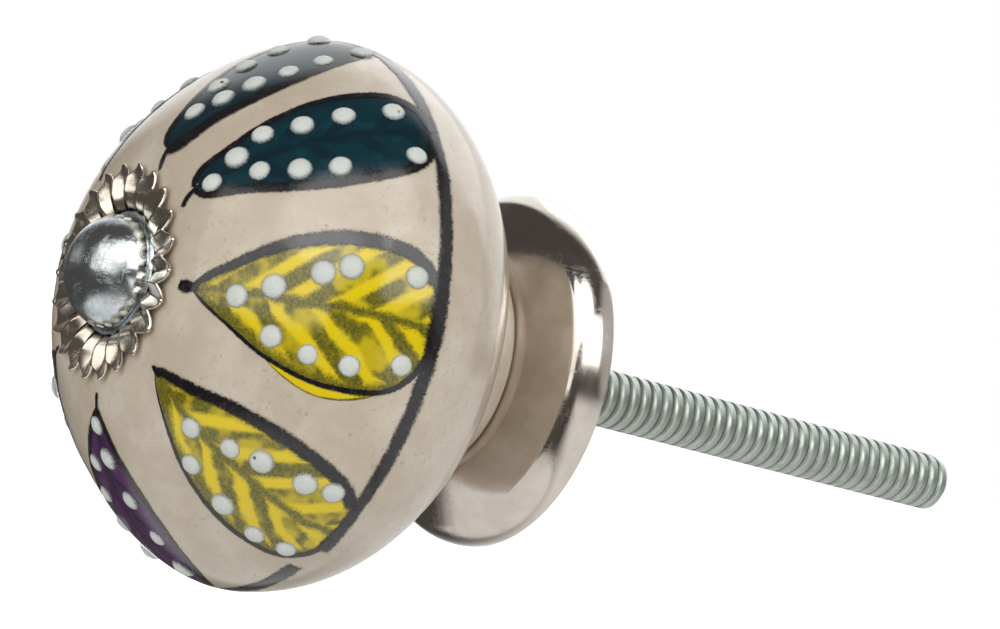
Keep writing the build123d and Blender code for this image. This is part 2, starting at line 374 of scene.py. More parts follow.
def leafMaterial(colour, look, hand):
    paint = blackPaint
    material, tree, shader, _ = glazedMaterial(colour + "Leaf", paint["ior"], paint["grain"], hand["specks"])
    place = objectPlace(tree)
    inward = readAttribute(tree, "leafInward")
    drift = swing(tree, place, hand["drift"])
    grain = swing(tree, place, hand["grain"], 3.0, 0.75)
    veinGrain = times(tree, grain, hand["veinGrain"])
    across = plus(tree, readAttribute(tree, "leafAcross"), times(tree, drift, hand["ribDrift"]))
    offRib = calc(tree, "ABSOLUTE", across)
    rib = ramp(tree, plus(tree, offRib, veinGrain), *hand["ribEdge"], 1.0, 0.0)
    side = times(tree, calc(tree, "SIGN", across), hand["veinStagger"])
    run = minus(tree, readAttribute(tree, "leafAlong"), times(tree, offRib, look["slope"]))
    run = plus(tree, plus(tree, run, side), times(tree, drift, hand["veinDrift"]))
    offVein = plus(tree, calc(tree, "PINGPONG", run, look["spacing"] / 2), veinGrain)
    sideVeins = ramp(tree, offVein, look["width"] * 0.5, look["width"], 1.0, 0.0)
    patchy = ramp(tree, noise(tree, place, hand["patches"]), *hand["patchEdge"])
    veins = larger(tree, rib, times(tree, sideVeins, patchy))
    margin = plus(tree, inward, times(tree, grain, hand["marginGrain"]))
    margin = plus(tree, margin, times(tree, drift, hand["marginDrift"]))
    darkest, palest = (look["margin"] * share for share in hand["marginEdge"])
    veins = larger(tree, veins, ramp(tree, margin, darkest, palest, 1.0, 0.0))
    stipple = ramp(tree, noise(tree, place, hand["stipple"], 3.0, 0.8), *hand["stippleEdge"])
    veins = times(tree, times(tree, veins, look["strength"]), stipple)
    pale = ramp(tree, noise(tree, place, hand["palePatches"], 3.0, 0.6), *hand["paleEdge"])
    field = blend(tree, pale, look["bright"], look["pale"])
    border = plus(tree, inward, times(tree, grain, hand["borderGrain"]))
    feed(tree, shader, {
        "Base Color": blend(tree, veins, field, look["vein"]),
        "Alpha": ramp(tree, border, *hand["borderEdge"]),
    })
    return material


whiteSlip = {
    "shade": (0.62, 0.65, 0.61, 1),
    "bright": (0.76, 0.79, 0.75, 1),
    "brightEdge": (0.35, 0.72),
    "rim": (0.33, 0.35, 0.33, 1),
    "rimEdge": (0.5, 0.88, 0.0, 0.5),
    "hole": (0.05, 0.045, 0.045, 1),
    "grain": 0.12 * mm,
    "grainHeight": 0.03,
    "lumps": 0.5 * mm,
    "lumpHeight": 0.07,
    "pits": 1.25 * mm,
    "pitEdge": (0.06, 0.14),
    "pitsChosen": (0.76, 0.79),
    "pitDepth": 0.08,
    "fadeEdge": (0.62, 0.94, 1.0, 0.0),
    "fadeGrain": 0.5,
    "roughness": (0.45, 0.65),
    "ior": 1.45,
}


def slipMaterial(look):
    material, tree, shader = newMaterial("whiteSlip", {"IOR": look["ior"]})
    place = objectPlace(tree)
    grain = noise(tree, place, look["grain"], 4.0, 0.7)
    hole = pinholes(tree, place, look["pits"], look["pitEdge"], look["pitsChosen"], 1)
    uneven = times(tree, minus(tree, grain, 0.5), look["fadeGrain"])
    spread = plus(tree, readAttribute(tree, "dotReach"), uneven)
    colour = blend(tree, ramp(tree, grain, *look["brightEdge"]), look["shade"], look["bright"])
    colour = blend(tree, ramp(tree, spread, *look["rimEdge"]), colour, look["rim"])
    lumps = times(tree, noise(tree, place, look["lumps"]), look["lumpHeight"])
    height = plus(tree, times(tree, grain, look["grainHeight"]), lumps)
    feed(tree, shader, {
        "Base Color": blend(tree, hole, colour, look["hole"]),
        "Alpha": ramp(tree, spread, *look["fadeEdge"]),
        "Roughness": ramp(tree, grain, 0.3, 0.8, *look["roughness"]),
        "Normal": bumped(tree, minus(tree, height, times(tree, hole, look["pitDepth"]))),
    })
    return material


# Metals: clean and hazy colour, roughness of both, how deep and how large the polishing marks are
metals = {
    "headSteel": {
        "clean": (0.74, 0.79, 0.80, 1), "hazy": (0.46, 0.51, 0.53, 1), "roughness": (0.16, 0.34),
        "depth": 1.3, "size": 1.0,
    },
    # The petal plate turns dark in the petal hollows and at the roots by the head: patina, and partly painted
    # shade
    "petalPlate": {
        "clean": (0.88, 0.80, 0.69, 1), "hazy": (0.70, 0.62, 0.52, 1), "roughness": (0.16, 0.27),
        "depth": 0.5, "size": 1.0, "darkIn": "petalGroove", "patinaAndShade": (0.02, 0.014, 0.01, 1),
    },
    "cupNickel": {
        "clean": (0.70, 0.64, 0.58, 1), "hazy": (0.58, 0.52, 0.46, 1), "roughness": (0.1, 0.2),
        "depth": 0.3, "size": 2.5,
    },
    "threadZinc": {
        "clean": (0.55, 0.61, 0.55, 1), "hazy": (0.42, 0.47, 0.42, 1), "roughness": (0.42, 0.56),
        "depth": 0.7, "size": 1.0,
    },
}
metalWear = {
    "hazeEdge": (0.35, 0.75),
    "markRoughness": 0.12,
    "patinaShadeGrain": 0.3 * mm,
    "patinaShadeDrift": 0.3,
    "patinaShadeEdge": (0.3, 0.6),
    "patinaShadeRoughness": 0.15,
}


def metalMaterial(name, look, wear):
    material, tree, shader = newMaterial(name, {"Metallic": 1.0})
    given = {"Depth": look["depth"], "Size": look["size"]}
    polish = addNode(tree, "ShaderNodeGroup", given, node_tree=scratchGroup).outputs
    colour = blend(tree, ramp(tree, polish["Haze"], *wear["hazeEdge"]), look["clean"], look["hazy"])
    rough = ramp(tree, polish["Haze"], *wear["hazeEdge"], *look["roughness"])
    rough = calc(tree, "ADD", rough, times(tree, polish["Marks"], wear["markRoughness"]), clamp=True)
    # Dark colour in the petal hollows and at their roots: patina, and partly painted shade there
    if "patinaAndShade" in look:
        grain = times(tree, swing(tree, objectPlace(tree), wear["patinaShadeGrain"], 3.0, 0.6), wear["patinaShadeDrift"])
        dark = ramp(tree, plus(tree, readAttribute(tree, look["darkIn"]), grain), *wear["patinaShadeEdge"])
        colour = blend(tree, dark, colour, look["patinaAndShade"])
        rough = calc(tree, "ADD", rough, times(tree, dark, wear["patinaShadeRoughness"]), clamp=True)
    feed(tree, shader, {"Base Color": colour, "Roughness": rough, "Normal": polish["Normal"]})
    return material


glaze = glazeMaterial(oatmealGlaze)
blackStroke = strokeMaterial(blackPaint)
leafMaterials = {colour: leafMaterial(colour, look, leafHand) for colour, look in leafPaint.items()}
slip = slipMaterial(whiteSlip)
headSteel, petalPlate, cupNickel, threadZinc = (
    metalMaterial(name, look, metalWear) for name, look in metals.items()
)
print("materials made")


# The dome at shares of its curve: radius, place along the axis and the two parts of the outward normal
def domeCurve(share):
    share = np.asarray(share, float)
    dome = stoneware
    crown, shoulder = dome["crownRadius"], dome["shoulderRadius"]
    radii = (crown, crown + dome["crownEase"], shoulder, shoulder)
    places = (dome["crownY"], dome["crownY"], dome["shoulderY"] - dome["domeEase"], dome["shoulderY"])
    rest = 1 - share
    weights = (rest**3, 3 * rest**2 * share, 3 * rest * share**2, share**3)
    slopes = (rest**2, 2 * rest * share, share**2)
    radius = sum(w * c for w, c in zip(weights, radii))
    place = sum(w * c for w, c in zip(weights, places))
    runR = sum(w * (b - a) for w, a, b in zip(slopes, radii, radii[1:]))
    runY = sum(w * (b - a) for w, a, b in zip(slopes, places, places[1:]))
    length = np.hypot(runR, runY)
    return radius, place, runY / length, -runR / length


# Chord of every leaf, from its tip to the shoulder, as radius and place along the axis
tipRadius, tipY, _, _ = domeCurve(stoneware["leafTipShare"])
chordR = stoneware["shoulderRadius"] - tipRadius
chordY = stoneware["shoulderY"] - tipY
leafLength = math.hypot(chordR, chordY)
chordR, chordY = chordR / leafLength, chordY / leafLength
search = {"rounds": 40, "farthest": 1.25, "mmPastShoulder": 20}


# Points on the dome from places on a leaf's flat plan: along the chord from the tip, and across it.
# Past the shoulder the surface goes straight on.
def ontoDome(angle, along, across, lift):
    along, across = np.asarray(along, float), np.asarray(across, float)
    low, high = np.zeros_like(along), np.full_like(along, search["farthest"])
    for _ in range(search["rounds"]):
        middle = (low + high) / 2
        capped = np.minimum(middle, 1.0)
        radius, place, _, _ = domeCurve(capped)
        place = place + (middle - capped) * search["mmPastShoulder"] * mm
        inPlane = np.sqrt(np.maximum(radius**2 - across**2, 0))
        short = (inPlane - tipRadius) * chordR + (place - tipY) * chordY < along
        low, high = np.where(short, middle, low), np.where(short, high, middle)
    share = np.minimum(low, 1.0)
    radius, place, normalR, normalY = domeCurve(share)
    place = place + (low - share) * search["mmPastShoulder"] * mm
    turn = angle + np.arcsin(np.clip(across / radius, -1, 1))
    radius, place = radius + lift * normalR, place + lift * normalY
    return np.stack([radius * np.cos(turn), place, radius * np.sin(turn)], axis=-1)


def between(t, ta, a, tb, b):
    return (tb - t) / (tb - ta) * a + (t - ta) / (tb - ta) * b


# Smooth curve through a few chosen points
def smoothThrough(points, count):
    points = np.asarray(points, float)
    steps = np.concatenate([[0], np.cumsum(np.linalg.norm(np.diff(points, axis=0), axis=1) ** 0.5)])
    padded = np.vstack([2 * points[0] - points[1], points, 2 * points[-1] - points[-2]])
    knots = np.concatenate([[-steps[1]], steps, [2 * steps[-1] - steps[-2]]])
    result = []
    for t in np.linspace(0, steps[-1], count):
        i = max(min(np.searchsorted(knots, t, side="right") - 1, len(knots) - 3), 1)
        a, b, c, d = padded[i - 1:i + 3]
        ta, tb, tc, td = knots[i - 1:i + 3]
        ab, bc, cd = between(t, ta, a, tb, b), between(t, tb, b, tc, c), between(t, tc, c, td, d)
        result.append(between(t, tb, between(t, ta, ab, tc, bc), tc, between(t, tb, bc, td, cd)))
    return np.array(result)


# How each leaf was painted. Angle in degrees, sizes in mm; lean is how far the tip leans over. far and
# near are a stroke's widths at tip, middle and base and the share of the leaf where it ends. stalk is
# length, lean and width, stray is start and stop as shares, distance and width.
leafBrush = {
    "yellow_leaf_1": {
        "number": 1, "colour": "yellow", "angle": 5.7, "halfWidth": 5.4, "lean": -0.5,
        "far": (0.5, 1.05, 0.8, 0.84), "near": (0.2, 0.3, 0.45, 0.9), "stalk": (1.0, 0.1, 0.9),
        "stray": (0.36, 0.82, 0.34, 0.8),
    },
    "teal_leaf_1": {
        "number": 2, "colour": "teal", "angle": 48.2, "halfWidth": 4.1, "lean": 0.0, "blunt": True,
        "far": (0.45, 0.45, 0.8, 1.0), "near": (0.45, 0.75, 0.7, 1.0), "stalk": (1.1, -0.95, 0.45),
    },
    "teal_leaf_2": {
        "number": 3, "colour": "teal", "angle": 85.8, "halfWidth": 4.2, "lean": -0.7, "blunt": True,
        "far": (0.4, 0.6, 0.5, 1.0), "near": (1.2, 0.9, 0.7, 1.0), "stalk": (1.5, -0.7, 0.45),
    },
    "green_leaf_1": {
        "number": 4, "colour": "green", "angle": 132.7, "halfWidth": 4.8, "lean": 0.4,
        "far": (0.4, 0.7, 0.6, 1.0), "near": (0.4, 0.8, 0.6, 1.0), "stalk": (0.8, 0.2, 0.4),
    },
    "green_leaf_2": {
        "number": 5, "colour": "green", "angle": 178.2, "halfWidth": 4.9, "lean": 0.5,
        "far": (0.4, 0.9, 0.6, 0.95), "near": (0.35, 0.6, 0.5, 1.0), "stalk": (0.9, -0.3, 0.4),
    },
    "purple_leaf_1": {
        "number": 6, "colour": "purple", "angle": 223.7, "halfWidth": 4.8, "lean": 0.3,
        "far": (0.35, 0.6, 0.5, 1.0), "near": (0.4, 0.8, 0.6, 0.96), "stalk": (1.0, 0.3, 0.35),
    },
    "purple_leaf_2": {
        "number": 7, "colour": "purple", "angle": 267.0, "halfWidth": 4.6, "lean": 1.6,
        "far": (0.45, 0.7, 0.6, 1.0), "near": (0.35, 0.6, 0.5, 1.0), "stalk": (1.0, 0.1, 0.35),
    },
    "yellow_leaf_2": {
        "number": 8, "colour": "yellow", "angle": 318.2, "halfWidth": 4.8, "lean": 0.8,
        "far": (0.7, 1.0, 0.8, 0.85), "near": (0.1, 0.42, 0.45, 0.97), "stalk": (0.25, 0.15, 0.4),
    },
}
# Stations are shares of a leaf's length and of its half width
brush = {
    "stations": [
        (0, 0), (0.06, 0.17), (0.17, 0.40), (0.38, 0.79), (0.61, 1.0), (0.82, 0.97), (0.95, 0.66), (1.0, 0.0),
    ],
    "bluntStations": [
        (0, 0), (0.02, 0.2), (0.07, 0.36), (0.17, 0.5), (0.38, 0.82),
        (0.61, 1.0), (0.82, 0.95), (0.95, 0.62), (1.0, 0.0),
    ],
    "fieldLift": 0.03 * mm,
    "fieldInset": 0.12 * mm,
    "strokeLift": 0.05 * mm,
    "stalkLift": 1.2,
    "skin": 0.1 * mm,
    "tipFade": 0.45,
    "baseFade": 0.3 * mm,
    "overlap": 0.42,
    "reach": 1.6,
    "rows": 110,
    "fieldColumns": 43,
    "strokeColumns": 9,
    "stalkRows": 24,
    "strayRows": 40,
    "endRows": 3,
    "strayAlong": 2.95,
    "strayAcross": 2.0,
    "strayInward": 2.2,
}


def thicken(piece, thickness):
    solid = piece.modifiers.new("thickness", "SOLIDIFY")
    solid.thickness = thickness
    solid.offset = -1


# A painted skin from sheets of points, each a grid with its own values for named attributes. Its faces
# are turned outwards, then it gets its thickness.
def paintedSkin(name, sheets, material):
    verts, faces, values = [], [], {label: [] for label in sheets[0][1]}
    for grid, given in sheets:
        rows, columns = grid.shape[:2]
        base = len(verts)
        verts += [tuple(p) for p in grid.reshape(-1, 3)]
        for label in values:
            values[label] += list(np.asarray(given[label], float).reshape(-1))
        for i in range(rows - 1):
            for a in range(base + i * columns, base + i * columns + columns - 1):
                faces.append((a, a + 1, a + columns + 1, a + columns))
    mesh = bpy.data.meshes.new(name)
    mesh.from_pydata(verts, [], faces)
    for label, listed in values.items():
        mesh.attributes.new(label, "FLOAT", "POINT").data.foreach_set("value", listed)
    form = bmesh.new()
    form.from_mesh(mesh)
    bmesh.ops.dissolve_degenerate(form, dist=2e-6, edges=form.edges)
    form.normal_update()
    middle = Vector((0, stoneware["shoulderY"] + stoneware["insideY"], 0))
    inwardFaces = [f for f in form.faces if f.normal.dot(f.calc_center_median() - middle) < 0]
    bmesh.ops.reverse_faces(form, faces=inwardFaces)
    form.to_mesh(mesh)
    form.free()
    mesh.shade_smooth()
    mesh.materials.append(material)
    piece = addObject(name, mesh)
    thicken(piece, brush["skin"])
    return piece


def leafShape(look):
    stations = smoothThrough(brush["bluntStations" if look.get("blunt") else "stations"], brush["rows"])
    middle = look["lean"] * mm * (1 - stations[:, 0]) ** 2
    return stations[:, 0], np.maximum(stations[:, 1], 0), middle


# A thin stroke of the leaf's own colour that missed the outline on its near side
def strayStroke(look, down, half, middle):
    start, stop, off, width = look["stray"]
    run = np.linspace(0, 1, brush["strayRows"])
    here = start + (stop - start) * run
    swell = np.sin(run * math.pi) ** 0.7
    edge = np.interp(here, down, half) * look["halfWidth"] * mm + off * mm * swell
    share = np.linspace(-1, 1, brush["strokeColumns"])
    along = np.repeat(here[:, None] * leafLength, len(share), axis=1)
    across = np.interp(here, down, middle)[:, None] - edge[:, None] + width * mm / 2 * swell[:, None] * share
    return ontoDome(math.radians(look["angle"]), along, across, brush["fieldLift"]), {
        "leafAlong": np.full_like(along, brush["strayAlong"]),
        "leafAcross": np.full_like(along, brush["strayAcross"]),
        "leafInward": brush["strayInward"] * (1 - np.abs(share)) * swell[:, None],
    }


def leafField(look):
    down, half, middle = leafShape(look)
    share = np.linspace(-1, 1, brush["fieldColumns"])
    along = np.repeat(down[:, None] * leafLength, len(share), axis=1)
    reach = half[:, None] * (look["halfWidth"] * mm - brush["fieldInset"])
    offMiddle = reach * share
    fromEnds = np.minimum(along * brush["tipFade"], leafLength - along + brush["baseFade"])
    inward = np.minimum(reach * (1 - np.abs(share)), fromEnds)
    grid = ontoDome(math.radians(look["angle"]), along, middle[:, None] + offMiddle, brush["fieldLift"])
    sheets = [(grid, {"leafAlong": along / mm, "leafAcross": offMiddle / mm, "leafInward": inward / mm})]
    if "stray" in look:
        sheets.append(strayStroke(look, down, half, middle))
    return paintedSkin(f"leafPaint{look['number']}", sheets, leafMaterials[look["colour"]])


# How far each point of a stroke is from its middle, as a share: 1 at its edges and at its ends
def acrossStroke(rows):
    share = np.abs(np.linspace(-1, 1, brush["strokeColumns"]))
    ends = np.minimum(np.arange(rows), np.arange(rows)[::-1])[:, None] / brush["endRows"]
    return {"strokeAcross": np.maximum(share[None, :] * np.ones((rows, 1)), 1 - np.minimum(ends, 1))}


# One stroke of the brush: a strip along a path on the leaf's flat plan
def strokeSheet(angle, path, widths, lift):
    run = np.gradient(path, axis=0)
    length = np.linalg.norm(run, axis=1, keepdims=True) + 1e-12
    sideways = np.stack([-run[:, 1], run[:, 0]], axis=1) / length
    spread = widths[:, None] / 2 * brush["reach"] * np.linspace(-1, 1, brush["strokeColumns"])[None, :]
    along = path[:, 0:1] + sideways[:, 0:1] * spread
    across = path[:, 1:2] + sideways[:, 1:2] * spread
    return ontoDome(angle, along, across, lift), acrossStroke(len(path))


def leafOutline(look):
    angle, tip = math.radians(look["angle"]), look["lean"] * mm
    down, half, middle = leafShape(look)
    run = np.linspace(0, 1, brush["rows"])
    sheets = []
    for side, key in ((1, "far"), (-1, "near")):
        start, halfway, end, last = look[key]
        widths = np.interp(run, [0, 0.1, 0.5, 0.9, 1], [start * 0.7, start, halfway, end, end * 0.7]) * mm
        offset = half * (look["halfWidth"] * mm - widths * brush["overlap"])
        path = np.stack([down * leafLength, middle + side * offset], axis=1)
        rows = int(last * brush["rows"])
        sheets.append(strokeSheet(angle, path[:rows], widths[:rows], brush["strokeLift"]))
    length, lean, width = look["stalk"]
    top, bend = (-length * mm, tip + lean * mm), (-0.45 * length * mm, tip + lean * 0.4 * mm)
    path = smoothThrough([top, bend, (0.6 * mm, tip * 0.93)], brush["stalkRows"])
    run = np.linspace(0, 1, brush["stalkRows"])
    widths = np.interp(run, [0, 0.35, 1], [width * 0.7, width, 0.6 * width]) * mm
    sheets.append(strokeSheet(angle, path, widths, brush["strokeLift"] * brush["stalkLift"]))
    return paintedSkin(f"leafOutline{look['number']}", sheets, blackStroke)


for node, look in leafBrush.items():
    number = look["number"]
    field = leafField(look)
    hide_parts(node)
    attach(field, "root")
    outline = leafOutline(look)
    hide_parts(f"leaf_outline_{number}")
    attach(outline, "root")
print("leaves painted")

# Black line round the shoulder: one long stroke that starts and stops below the second yellow leaf
ringStroke = {
    "width": 1.1 * mm,
    "startAngle": -49.0,
    "stopAngle": -54.5,
    "drift": 0.12 * mm,
    "endStep": 0.5 * mm,
    "endStepFrom": 0.93,
    "steps": 420,
    "bowlPull": 1.5 / (2 * 12 * mm),
}


def paintRing(ring):
    turns = np.radians(np.linspace(ring["startAngle"], ring["stopAngle"] + 360, ring["steps"]))
    sway = np.sin(turns * 3 + 0.6) * 0.6 + np.sin(turns * 7 + 2.0) * 0.4
    step = np.interp(np.linspace(0, 1, ring["steps"]), [0, ring["endStepFrom"], 1], [0, 0, 1])
    middle = stoneware["shoulderY"] + sway * ring["drift"] - step * ring["endStep"]
    width = ring["width"] * (1 + 0.12 * np.sin(turns * 5 + 1) + 0.06 * np.sin(turns * 13))
    share = np.linspace(-1, 1, brush["strokeColumns"])
    places = middle[:, None] + width[:, None] / 2 * brush["reach"] * share[None, :]
    frontR, frontY, _, _ = domeCurve(np.linspace(0.6, 1, 400))
    front = np.interp(places, frontY, frontR)
    behind = np.maximum(places - stoneware["shoulderY"], 0)
    radius = front - ring["bowlPull"] * 0.5 * behind**2 + brush["strokeLift"]
    grid = np.stack([radius * np.cos(turns)[:, None], places, radius * np.sin(turns)[:, None]], axis=-1)
    return paintedSkin("shoulderStroke", [(grid, acrossStroke(ring["steps"]))], blackStroke)


shoulderStroke = paintRing(ringStroke)
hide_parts("shoulder_line")
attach(shoulderStroke, "root")


# Helpers for Geometry Nodes

def newShapeTree(name, inputs):
    return newTree(name, "GeometryNodeTree", {"Geometry": "Geometry", **inputs}, {"Geometry": "Geometry"})


# One more node with the geometry going through it
def through(tree, kind, geometry, inputs=None):
    return addNode(tree, "GeometryNode" + kind, {"Geometry": geometry, **(inputs or {})}).outputs[0]


def coat(tree, result, geometry, material):
    feed(tree, result, {"Geometry": through(tree, "SetMaterial", geometry, {"Material": material})})
    return tree


# Runs a tree on a mesh with the given sizes, and keeps the result as a plain mesh
def grow(name, seedMesh, tree, values):
    seed = addObject(name + "Seed", seedMesh)
    modifier = seed.modifiers.new("grow", "NODES")
    modifier.node_group = tree
    for item in tree.interface.items_tree:
        if item.in_out == "INPUT" and item.name in values:
            modifier[item.identifier] = values[item.name]
    depsgraph = bpy.context.evaluated_depsgraph_get()
    mesh = bpy.data.meshes.new_from_object(seed.evaluated_get(depsgraph))
    mesh.name = name
    seed.modifiers.remove(modifier)
    bpy.data.objects.remove(seed)
    return addObject(name, mesh)


# Raised dots of slip: one rounded, slightly uneven drop on each dot of the solid
slipDots = {
    "radius": 1.03 * mm,
    "height": 0.8 * mm,
    "sink": 0.4 * mm,
    "unevenness": 0.12 * mm,
    "wobble": 1.1 * mm,
    "smallest": 0.86,
    "largest": 1.08,
}


def makeDotTree(dot, material):
    tree, given, result = newShapeTree("slipDots", {
        "Radius": "Float",
        "Height": "Float",
        "Unevenness": "Float",
        "Seed": "Int",
    })
    named = {"Name": "outward"}
    outward = addNode(tree, "GeometryNodeInputNamedAttribute", named, data_type="FLOAT_VECTOR").outputs[0]
    aim = addNode(tree, "FunctionNodeAlignRotationToVector", {"Vector": outward}, axis="Z")
    ball = addNode(tree, "GeometryNodeMeshIcoSphere", {"Radius": 1.0, "Subdivisions": 5})
    place = addNode(tree, "GeometryNodeInputPosition").outputs[0]
    across = vectorCalc(tree, "LENGTH", vectorCalc(tree, "MULTIPLY", place, (1, 1, 0)))
    marked = through(tree, "StoreNamedAttribute", ball.outputs["Mesh"], {"Name": "dotReach", "Value": across})
    size = addNode(tree, "ShaderNodeCombineXYZ", {0: given["Radius"], 1: given["Radius"], 2: given["Height"]})
    limits = {2: dot["smallest"], 3: dot["largest"], "Seed": given["Seed"]}
    vary = addNode(tree, "FunctionNodeRandomValue", limits, data_type="FLOAT")
    drops = addNode(tree, "GeometryNodeInstanceOnPoints", {
        "Points": given["Geometry"],
        "Instance": marked,
        "Rotation": aim.outputs[0],
        "Scale": scaled(tree, size.outputs[0], vary.outputs[1]),
    })
    real = through(tree, "RealizeInstances", drops.outputs[0])
    wobble = addNode(tree, "ShaderNodeTexNoise", {"Vector": place, "Scale": 1 / dot["wobble"], "Detail": 2.0})
    centred = vectorCalc(tree, "SUBTRACT", wobble.outputs["Color"], (0.5, 0.5, 0.5))
    uneven = through(tree, "SetPosition", real, {"Offset": scaled(tree, centred, given["Unevenness"])})
    return coat(tree, result, through(tree, "SetShadeSmooth", uneven), material)


# Middle of each dot of a CAD node, from a merged copy of its loose triangles, in their vertices' order
def dotPlaces(node):
    form = bmesh.new()
    form.from_mesh(cad[node].data)
    bmesh.ops.remove_doubles(form, verts=form.verts, dist=1e-6)
    form.verts.index_update()
    form.verts.ensure_lookup_table()
    left, places = set(range(len(form.verts))), []
    while left:
        wave = {min(left)}
        island = set(wave)
        while wave:
            near = {e.other_vert(form.verts[i]).index for i in wave for e in form.verts[i].link_edges}
            wave = near & left - island
            island |= wave
        left -= island
        places.append(sum((form.verts[i].co for i in sorted(island)), Vector()) / len(island))
    form.free()
    return places


# Nearest point of the dome, and the way out from it
def domeFoot(place):
    radius, along, normalR, normalY = domeCurve(np.linspace(0, 1, 600))
    reach = math.hypot(place.x, place.z)
    i = int(np.argmin((radius - reach) ** 2 + (along - place.y) ** 2))
    turn = math.atan2(place.z, place.x)
    foot = Vector((radius[i] * math.cos(turn), along[i], radius[i] * math.sin(turn)))
    outward = Vector((normalR[i] * math.cos(turn), normalY[i], normalR[i] * math.sin(turn)))
    return foot, outward


dotTree = makeDotTree(slipDots, slip)
for number in range(1, len(leafBrush) + 1):
    feet = [domeFoot(place) for place in dotPlaces(f"leaf_dots_{number}")]
    mesh = bpy.data.meshes.new(f"dotPoints{number}")
    mesh.from_pydata([foot - outward * slipDots["sink"] for foot, outward in feet], [], [])
    layer = mesh.attributes.new("outward", "FLOAT_VECTOR", "POINT")
    layer.data.foreach_set("vector", [c for _, outward in feet for c in outward])
    dots = grow(f"slipDots{number}", mesh, dotTree, {
        "Radius": slipDots["radius"],
        "Height": slipDots["height"],
        "Unevenness": slipDots["unevenness"],
        "Seed": number,
    })
    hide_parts(f"leaf_dots_{number}")
    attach(dots, "root")
print("slip dots set")

# Flower washer: one scooped, pointed petal, repeated round the axis. Shares are of the petal's reach.
washerLow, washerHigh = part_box("flower_washer")
flower = {
    "petals": 22,
    "phase": 8.6,
    "tipRadius": max(washerHigh.x, washerHigh.z),
    "rootRadius": 4.0 * mm,
    "notchRadius": 6.75 * mm,
    "thickness": 0.2 * mm,
    "crest": 0.8 * mm,
    "crestShare": 0.5,
    "scoop": 0.62 * mm,
    "scoopFrom": 0.04,
    "scoopLength": 0.92,
    "tipDrop": 0.25 * mm,
    "dropFrom": 0.6,
    "dropLength": 0.4,
    "floorY": washerHigh.y - 0.4 * mm,
    "crownY": bodyLow.y,
    "rows": 30,
    "columns": 17,
}


def petalMesh(petal):
    rows, columns, root, tip = petal["rows"], petal["columns"], petal["rootRadius"], petal["tipRadius"]
    halfStep = math.pi / petal["petals"]
    verts, faces, grooves = [], [], []
    for i in range(rows):
        for j in range(columns):
            off = 2 * j / (columns - 1) - 1
            reach = tip - (tip - petal["notchRadius"]) * abs(off)
            radius = root + (reach - root) * (i / (rows - 1))
            out = (radius - root) / (tip - root)
            rise = math.sin(min(out / petal["crestShare"], 1) * math.pi / 2)
            droop = max(out - petal["dropFrom"], 0) / petal["dropLength"]
            height = (petal["floorY"] - petal["crownY"] + petal["crest"]) * rise - petal["tipDrop"] * droop**2
            scooped = min(max((out - petal["scoopFrom"]) / petal["scoopLength"], 0), 1)
            scoop = petal["scoop"] * (1 - abs(off) ** 1.25) * math.sin(scooped * math.pi) ** 0.6
            turn = off * halfStep
            verts.append((radius * math.cos(turn), petal["floorY"] - height + scoop, radius * math.sin(turn)))
            # How dark the petal is at each point: the middle of its hollow and its root by the head, as patina
            # and partly painted shade
            grooves.append(max((1 - abs(off)) ** 5 * (1.1 - out), 1 - out * 3.0))
    for i in range(rows - 1):
        for a in range(i * columns, (i + 1) * columns - 1):
            faces.append((a, a + columns, a + columns + 1, a + 1))
    mesh = bpy.data.meshes.new("petal")
    mesh.from_pydata(verts, [], faces)
    mesh.attributes.new("petalGroove", "FLOAT", "POINT").data.foreach_set("value", grooves)
    return mesh


def makeFlowerTree(material):
    tree, given, result = newShapeTree("petalRing", {"Count": "Int", "Phase": "Float"})
    line = addNode(tree, "GeometryNodeMeshLine", {"Count": given["Count"], "Offset": (0, 0, 0)})
    index = addNode(tree, "GeometryNodeInputIndex").outputs[0]
    step = calc(tree, "DIVIDE", -2 * math.pi, given["Count"])
    turn = minus(tree, times(tree, index, step), given["Phase"])
    petals = addNode(tree, "GeometryNodeInstanceOnPoints", {
        "Points": line.outputs["Mesh"],
        "Instance": given["Geometry"],
        "Rotation": addNode(tree, "ShaderNodeCombineXYZ", {1: turn}).outputs[0],
    })
    real = through(tree, "RealizeInstances", petals.outputs[0])
    joined = through(tree, "MergeByDistance", real, {"Distance": 1e-6})
    return coat(tree, result, through(tree, "SetShadeSmooth", joined), material)


flowerValues = {"Count": flower["petals"], "Phase": math.radians(flower["phase"])}
flowerWasher = grow("flowerWasher", petalMesh(flower), makeFlowerTree(petalPlate), flowerValues)
form = bmesh.new()
form.from_mesh(flowerWasher.data)
bmesh.ops.recalc_face_normals(form, faces=form.faces)
if sum(f.normal.y * f.calc_area() for f in form.faces) > 0:
    bmesh.ops.reverse_faces(form, faces=form.faces)
form.to_mesh(flowerWasher.data)
form.free()
thicken(flowerWasher, flower["thickness"])
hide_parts("flower_washer")
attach(flowerWasher, "root")
print("flower washer pressed")

# Bolt: the head is turned, the thread is a ridge that follows a helix round the core. The ridge's foot
# and top, and the thread's stop before the tip, are shares of the pitch.
boltLow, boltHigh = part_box("dome_bolt")
bolt = {
    "headRadius": boltHigh.x,
    "apexY": boltLow.y,
    "seatY": flower["floorY"],
    "rimHeight": 0.5 * mm,
    "rimStep": 0.4 * mm,
    "tipY": boltHigh.y,
    "majorRadius": 2.2 * mm,
    "rootRadius": 1.93 * mm,
    "pitch": 25.4 / 24 * mm,
    "ridgeFoot": 0.94,
    "ridgeTop": 0.4,
    "threadStart": -4.0 * mm,
    "threadStop": 0.6,
    "tipTaper": 0.7 * mm,
    "taperSlope": 0.75,
}
onAxis = 1e-7


